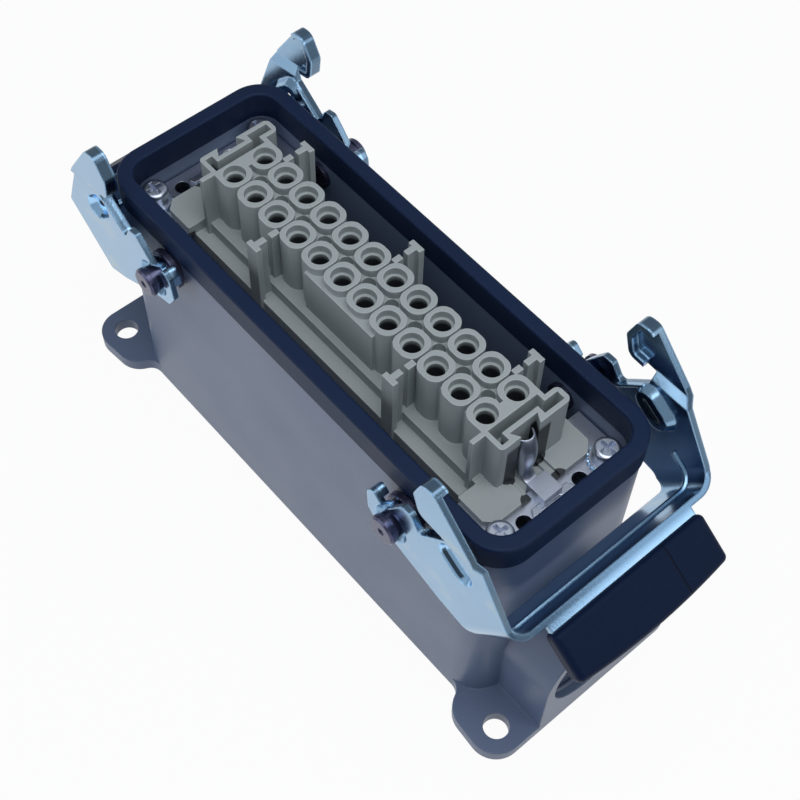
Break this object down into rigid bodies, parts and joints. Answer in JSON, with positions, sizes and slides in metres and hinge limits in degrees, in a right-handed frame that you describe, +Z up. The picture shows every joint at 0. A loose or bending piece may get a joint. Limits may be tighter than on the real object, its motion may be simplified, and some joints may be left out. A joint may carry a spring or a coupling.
{
  "type": "heavy duty rectangular connector",
  "caption": "Tall surface mounting connector housing with a rim seal, a multi-pole female insert and two locking levers on pivot pins.",
  "frame": {"origin": "middle of the base, on the mounting surface", "axes": "+X along the housing towards the cable entry, +Y across it, +Z up out of the insert's face"},
  "size_m": [0.1589, 0.056, 0.0821],
  "materials": {
    "housing": "fine powder coat",
    "seal": "matt",
    "insert": "satin moulded",
    "contact": "silver plated",
    "screw_zinc": "bright zinc",
    "earth_metal": "bright zinc",
    "pin_steel": "dark",
    "lever_zinc": "bluish bright zinc",
    "grip": "satin"
  },
  "bodies": {
    "base": {"housing": "housing", "rim_seal": "seal", "insert_body": "insert", "contact_01": "contact", "contact_02": "contact", "contact_03": "contact", "contact_04": "contact", "contact_05": "contact", "contact_06": "contact", "contact_07": "contact", "contact_08": "contact", "contact_09": "contact", "contact_10": "contact", "contact_11": "contact", "contact_12": "contact", "contact_13": "contact", "contact_14": "contact", "contact_15": "contact", "contact_16": "contact", "contact_17": "contact", "contact_18": "contact", "contact_19": "contact", "contact_20": "contact", "contact_21": "contact", "contact_22": "contact", "contact_23": "contact", "contact_24": "contact", "terminal_screws": "screw_zinc", "earth_wire_screws": "screw_zinc", "captive_screws": "screw_zinc", "earth_plate_near": "earth_metal", "earth_spring_near": "earth_metal", "earth_clamp_near": "earth_metal", "pivot_pin_near_front": "pin_steel", "pivot_pin_near_back": "pin_steel", "earth_plate_far": "earth_metal", "earth_spring_far": "earth_metal", "earth_clamp_far": "earth_metal", "pivot_pin_far_front": "pin_steel", "pivot_pin_far_back": "pin_steel"},
    "near_lever": {"lever_near": "lever_zinc", "grip_near": "grip"},
    "far_lever": {"lever_far": "lever_zinc", "grip_far": "grip"}
  },
  "joints": [
    {"name": "near_lever_hinge", "type": "hinge", "parent": "base", "child": "near_lever", "pos_m": [0.0365, 0, 0.0553], "axis": [0, -1, 0], "range_deg": [-11, 50]},
    {"name": "far_lever_hinge", "type": "hinge", "parent": "base", "child": "far_lever", "pos_m": [-0.0365, 0, 0.0553], "axis": [0, 1, 0], "range_deg": [0, 61]}
  ]
}
